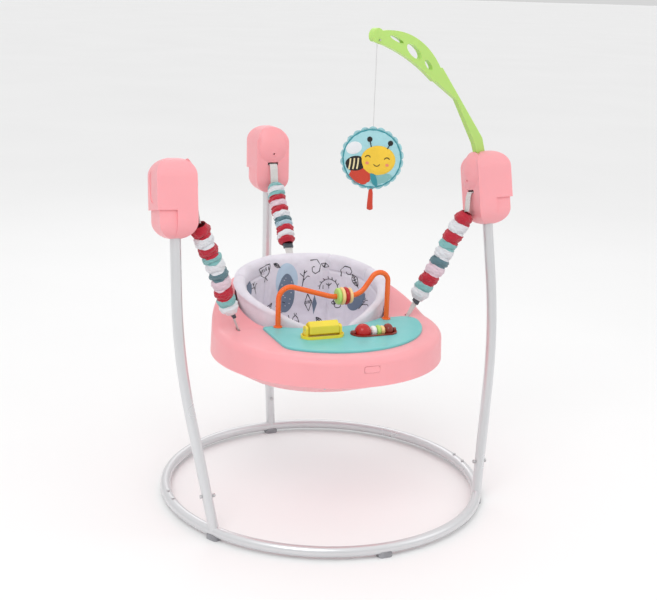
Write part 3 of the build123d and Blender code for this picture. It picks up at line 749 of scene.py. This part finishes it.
def coil_spring(name):
    """Open coil inside the sleeve that stretches with it."""
    top, along, side, other, length = strap_axes(name)
    turns, sides, wire = 26, 8, 0.0013
    steps = turns * 20
    start, reach, radius = 0.015, length - 0.030, 0.0098
    points = []
    for step in range(steps + 1):
        t = step / steps
        a = 2 * math.pi * turns * t
        out = side * math.cos(a) + other * math.sin(a)
        centre = top + along * (start + reach * t) + out * radius
        points += [centre + out * wire * math.cos(b) + along * wire * math.sin(b)
                   for b in (2 * math.pi * k / sides for k in range(sides))]
    faces = grid_faces(steps + 1, sides, True)
    faces += [tuple(range(sides)), tuple(reversed(range(steps * sides, (steps + 1) * sides)))]
    piece = make_piece("coil_" + name, points, faces, ["spring_steel"])
    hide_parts("spring_" + name)
    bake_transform(piece)


# ---- hanging toy ------------------------------------------------------------------------------------

def hanging_cord():
    """Straight plumb cord from just below the arm's pin, which it does not touch, to the toy."""
    curve = bpy.data.curves.new("toy_cord", "CURVE")
    curve.dimensions = "3D"
    curve.bevel_depth = 0.0008
    curve.bevel_resolution = 3
    line = curve.splines.new("NURBS")
    line.points.add(4)
    for index, point in enumerate(line.points):
        drop = CORD_LENGTH * index / 4
        point.co = (CORD_TOP[0], CORD_TOP[1], CORD_TOP[2] - drop, 1)
    line.order_u = 3
    line.use_endpoint_u = True
    piece = bpy.data.objects.new("toy_cord", curve)
    bpy.context.scene.collection.objects.link(piece)
    curve.materials.append(MATERIALS["cord"])
    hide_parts("toy_string")
    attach(piece, "swing_cord")


def dome_at(u, v):
    """Height of the stuffed disc's front over its middle plane."""
    reach = min(1.0, math.hypot(u, v) / BEE_R)
    return BEE_T / 2 * (1 - reach ** 2.6) ** 0.6 + 0.0005 * noise.noise(Vector((u * 60, v * 60, 2)))


def bee_point(u, v, w):
    return BEE_CENTRE + BEE_RIGHT * u + Vector((0, 0, v)) + BEE_OUT * w


def stuffed_disc():
    """Two rounds of plush sewn together, drawn in along the edge."""
    rings, turns = 26, 120
    points = []
    for front in (1, -1):
        for ring in range(1, rings + 1):
            r = BEE_R * 0.97 * math.sin(math.pi / 2 * ring / rings)
            for turn in range(turns):
                a = 2 * math.pi * turn / turns
                u, v = r * math.cos(a), r * math.sin(a)
                pucker = 0.0011 * math.cos(22 * a) * smoothstep(0.6 * BEE_R, 0.95 * BEE_R, r)
                points.append(bee_point(u, v, front * (dome_at(u, v) + pucker * 0.6)))
    faces = []
    for start, flip in ((0, False), (rings * turns, True)):
        for face in grid_faces(rings, turns, True):
            face = tuple(start + index for index in face)
            faces.append(tuple(reversed(face)) if flip else face)
        centre = len(points)
        points.append(bee_point(0, 0, (-1 if flip else 1) * dome_at(0, 0)))
        for turn in range(turns):
            fan = (centre, start + turn, start + (turn + 1) % turns)
            faces.append(tuple(reversed(fan)) if flip else fan)
    return make_piece("stuffed_disc", points, faces, ["bee_plush"])


def ruffle():
    """Scalloped double edge of teal and pale cloth round the disc."""
    points, slots = [], []
    turns, across = 264, 6
    for row in range(across):
        s = row / (across - 1)
        for turn in range(turns):
            a = 2 * math.pi * turn / turns
            lobe = abs(math.sin(11 * a)) ** 0.7
            r = BEE_R * 0.935 + s * (0.0035 + 0.0045 * lobe)
            wave = s * 0.0034 * math.sin(22 * a + 0.6)
            points.append(bee_point(r * math.cos(a), r * math.sin(a), wave))
    faces = grid_faces(across, turns, True)
    slots = [0 if index // turns < 2 else 1 for index in range(len(faces))]
    piece = make_piece("ruffle", points, faces, ["band_teal", "bee_plush"], slots)
    thick = piece.modifiers.new("cloth", "SOLIDIFY")
    thick.thickness = 0.0014
    thick.offset = 0
    apply_modifiers(piece)
    return piece


def piping():
    """Corded seam where the disc meets its ruffle."""
    points = []
    turns, sides = 180, 10
    for turn in range(turns):
        a = 2 * math.pi * turn / turns
        out = Vector((math.cos(a), math.sin(a)))
        for side in range(sides):
            b = 2 * math.pi * side / sides
            r = BEE_R * 0.945 + 0.0017 * math.cos(b)
            points.append(bee_point(r * out.x, r * out.y, 0.0017 * math.sin(b) + 0.0028))
    faces = grid_faces(turns, sides, True)
    last = (turns - 1) * sides
    faces += [(last + k, last + (k + 1) % sides, (k + 1) % sides, k) for k in range(sides)]
    return make_piece("piping", points, faces, ["felt_teal"])


def felt_patch(name, outline, material, lift=0.0006):
    """Cut felt shape sewn on the front of the disc, its edge a little raised."""
    mid = (sum(p[0] for p in outline) / len(outline), sum(p[1] for p in outline) / len(outline))
    dense = []
    for (u0, v0), (u1, v1) in zip(outline, outline[1:] + outline[:1]):
        parts = max(1, int(math.hypot(u1 - u0, v1 - v0) / 0.003))
        dense += [(u0 + (u1 - u0) * k / parts, v0 + (v1 - v0) * k / parts) for k in range(parts)]
    rings, count = 6, len(dense)
    points = []
    for ring in range(1, rings + 1):
        keep = ring / rings
        for u, v in dense:
            u, v = mid[0] + (u - mid[0]) * keep, mid[1] + (v - mid[1]) * keep
            points.append(bee_point(u, v, dome_at(u, v) + lift * (1 if ring < rings else 0.2)))
    faces = grid_faces(rings, count, True)
    points.append(bee_point(mid[0], mid[1], dome_at(*mid) + lift))
    faces += [((k + 1) % count, k, len(points) - 1) for k in range(count)]
    return make_piece(name, points, faces, [material])


def oval(cu, cv, ru, rv, turn=0.0, count=36):
    spots = []
    for k in range(count):
        a = 2 * math.pi * k / count
        u, v = ru * math.cos(a), rv * math.sin(a)
        along = u * math.cos(turn) - v * math.sin(turn)
        across = u * math.sin(turn) + v * math.cos(turn)
        spots.append((cu + along, cv + across))
    return spots


def felt_line(name, spots, width, material, lift):
    points = []
    for index, (u, v) in enumerate(spots):
        u0, v0 = spots[max(0, index - 1)]
        u1, v1 = spots[min(len(spots) - 1, index + 1)]
        run = Vector((u1 - u0, v1 - v0)).normalized() * width / 2
        for side in (-1, 1):
            pu, pv = u - side * run.y, v + side * run.x
            points.append(bee_point(pu, pv, dome_at(pu, pv) + lift))
    faces = [(2 * k, 2 * k + 2, 2 * k + 3, 2 * k + 1) for k in range(len(spots) - 1)]
    return make_piece(name, points, faces, [material])


def bee_face():
    """A plain bee in cut felt: round head, striped body, one wing, a flower and leaves."""
    made = [
        felt_patch("wing", oval(-0.043, 0.024, 0.019, 0.014, 0.3), "felt_white", 0.0010),
        felt_patch("flower", oval(-0.026, -0.040, 0.026, 0.021, -0.3), "red_felt", 0.0008),
        felt_patch("leaf_low", oval(0.022, -0.046, 0.026, 0.0115, 0.25), "band_teal", 0.0009),
        felt_patch("leaf_mid", oval(0.006, -0.047, 0.0075, 0.019, 0.35), "felt_teal", 0.0013),
        felt_patch("bee_body", oval(-0.037, -0.012, 0.024, 0.018, 0.15), "felt_black", 0.0014),
        felt_patch("head", oval(0.014, -0.003, 0.040, 0.034), "felt_yellow", 0.0030),
    ]
    for index, u in enumerate((-0.053, -0.044, -0.035)):
        heights = [-0.026 + 0.0032 * k + 0.001 * index for k in range(9)]
        spots = [(u + 0.0035 * math.cos(v * 55), v) for v in heights]
        made.append(felt_line("body_stripe_%d" % index, spots, 0.0034, "felt_cream", 0.0021))
    for index, (u, v) in enumerate(((-0.010, 0.002), (0.034, -0.002))):
        arc = circle(0.0062, 10, 20, 140, 1.0, (u, v))
        made.append(felt_line("eye_%d" % index, arc, 0.0022, "felt_black", 0.0036))
        outward = 0.001 if index else -0.001
        cheek = oval(u + outward, v - 0.011, 0.005, 0.004)
        made.append(felt_patch("cheek_%d" % index, cheek, "felt_blush", 0.0035))
    smile = circle(0.0078, 12, 205, 130, 1.0, (0.011, -0.008))
    made.append(felt_line("smile", smile, 0.0018, "felt_black", 0.0036))
    feelers = ((-0.003, 0.028, -0.007, 0.045), (0.034, 0.024, 0.041, 0.037))
    for index, (u, v, tip_u, tip_v) in enumerate(feelers):
        stem = [(u + (tip_u - u) * k / 6, v + (tip_v - v) * k / 6) for k in range(7)]
        made.append(felt_line("feeler_%d" % index, stem, 0.0022, "felt_black", 0.0016))
        tip = oval(tip_u, tip_v, 0.0062, 0.0062)
        made.append(felt_patch("feeler_tip_%d" % index, tip, "felt_black", 0.0016))
    return made


def pull_tag():
    """Tapered stuffed tube under the disc, pinched where it is sewn on."""
    rows, turns = 30, 24
    points = []
    for row in range(rows):
        t = row / (rows - 1)
        fat = 0.0050 + 0.0025 * t - 0.0012 * math.exp(-(t / 0.10) ** 2)
        fat *= math.sqrt(max(0.02, 1 - max(0.0, (t - 0.93) / 0.07) ** 2))
        for turn in range(turns):
            a = 2 * math.pi * turn / turns
            crease = 1 + 0.05 * math.sin(3 * a + 7 * t)
            low = -BEE_R - 0.0015 - 0.0500 * t
            points.append(bee_point(fat * math.cos(a) * crease, low, fat * 0.5 * math.sin(a) * crease))
    faces = grid_faces(rows, turns, True)
    faces += [tuple(range(turns)), tuple(reversed(range((rows - 1) * turns, rows * turns)))]
    piece = make_piece("pull_tag", points, faces, ["red_felt"])
    rounder = piece.modifiers.new("round", "SUBSURF")
    rounder.levels = 1
    apply_modifiers(piece)
    return piece


def hanging_bee():
    disc = stuffed_disc()
    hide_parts("bee_toy")
    tag = pull_tag()
    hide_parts("bee_pull")
    for piece in [disc, tag, ruffle(), piping()] + bee_face():
        for face in piece.data.polygons:
            face.use_smooth = True
        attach(piece, "hanging_toy")


# ---- floor, light and camera ---------------------------------------------------------------------------

def floor():
    half = 60.0
    corners = [(-half, -half, 0), (half, -half, 0), (half, half, 0), (-half, half, 0)]
    plane = make_piece("floor", corners, [(0, 1, 2, 3)], [], smooth=False)
    shade = Shade("floor", 0.75)
    shade.colour(shade.ramp(shade.noise(0.8), 0.3, 0.7, 0.0, 1.0), (0.90, 0.90, 0.90), (0.92, 0.92, 0.92))
    plane.data.materials.append(shade.mat)


def area_light(name, place_at, aim, size, power, colour=(1, 1, 1)):
    data = bpy.data.lights.new(name, "AREA")
    data.shape = "DISK"
    data.size = size
    data.energy = power
    data.color = colour
    lamp = bpy.data.objects.new(name, data)
    lamp.location = place_at
    lamp.rotation_euler = (Vector(aim) - Vector(place_at)).to_track_quat("-Z", "Y").to_euler()
    bpy.context.scene.collection.objects.link(lamp)


def lights():
    world = bpy.data.worlds.new("studio")
    world.use_nodes = True
    tree = world.node_tree
    tree.nodes["Background"].inputs["Color"].default_value = (1.0, 1.0, 1.0, 1)
    heading = tree.nodes.new("ShaderNodeTexCoord").outputs["Generated"]
    split = tree.nodes.new("ShaderNodeSeparateXYZ")
    climb = tree.nodes.new("ShaderNodeMapRange")
    climb.inputs["From Min"].default_value = -0.05
    climb.inputs["From Max"].default_value = 0.75
    climb.inputs["To Min"].default_value = 0.66
    climb.inputs["To Max"].default_value = 0.98
    tree.links.new(heading, split.inputs["Vector"])
    tree.links.new(split.outputs["Z"], climb.inputs["Value"])
    tree.links.new(climb.outputs["Result"], tree.nodes["Background"].inputs["Strength"])
    bpy.context.scene.world = world
    area_light("key", (-1.6, -2.2, 3.4), (0, 0, 0.5), 2.2, 36)
    area_light("fill", (2.8, -1.6, 2.2), (0, 0, 0.6), 2.4, 8)
    area_light("rim", (0.6, 2.8, 2.6), (0, 0, 0.7), 2.0, 9)
    bpy.context.scene.view_settings.view_transform = "Standard"


def camera():
    data = bpy.data.cameras.new("camera")
    data.lens = 65.75
    data.sensor_width = 36.0
    data.clip_end = 300
    view = bpy.data.objects.new("camera", data)
    right = Vector((0.92856, -0.36946, 0.03582)).normalized()
    ahead = Vector((0.36537, 0.89272, -0.26373)).normalized()
    up = right.cross(ahead).normalized()
    turn = Matrix((right, up, -ahead)).transposed()
    view.matrix_world = Matrix.Translation((-1.0885, -2.7272, 1.2899)) @ turn.to_4x4()
    bpy.context.scene.collection.objects.link(view)
    bpy.context.scene.camera = view


# ---- assembly --------------------------------------------------------------------------------------------

camera()
floor()
lights()
dress_frame()
hanging_cord()
seat_print(Wall(seat_padding()))
for strap in STRAPS:
    gathered_sleeve(strap)
    coil_spring(strap)
hanging_bee()
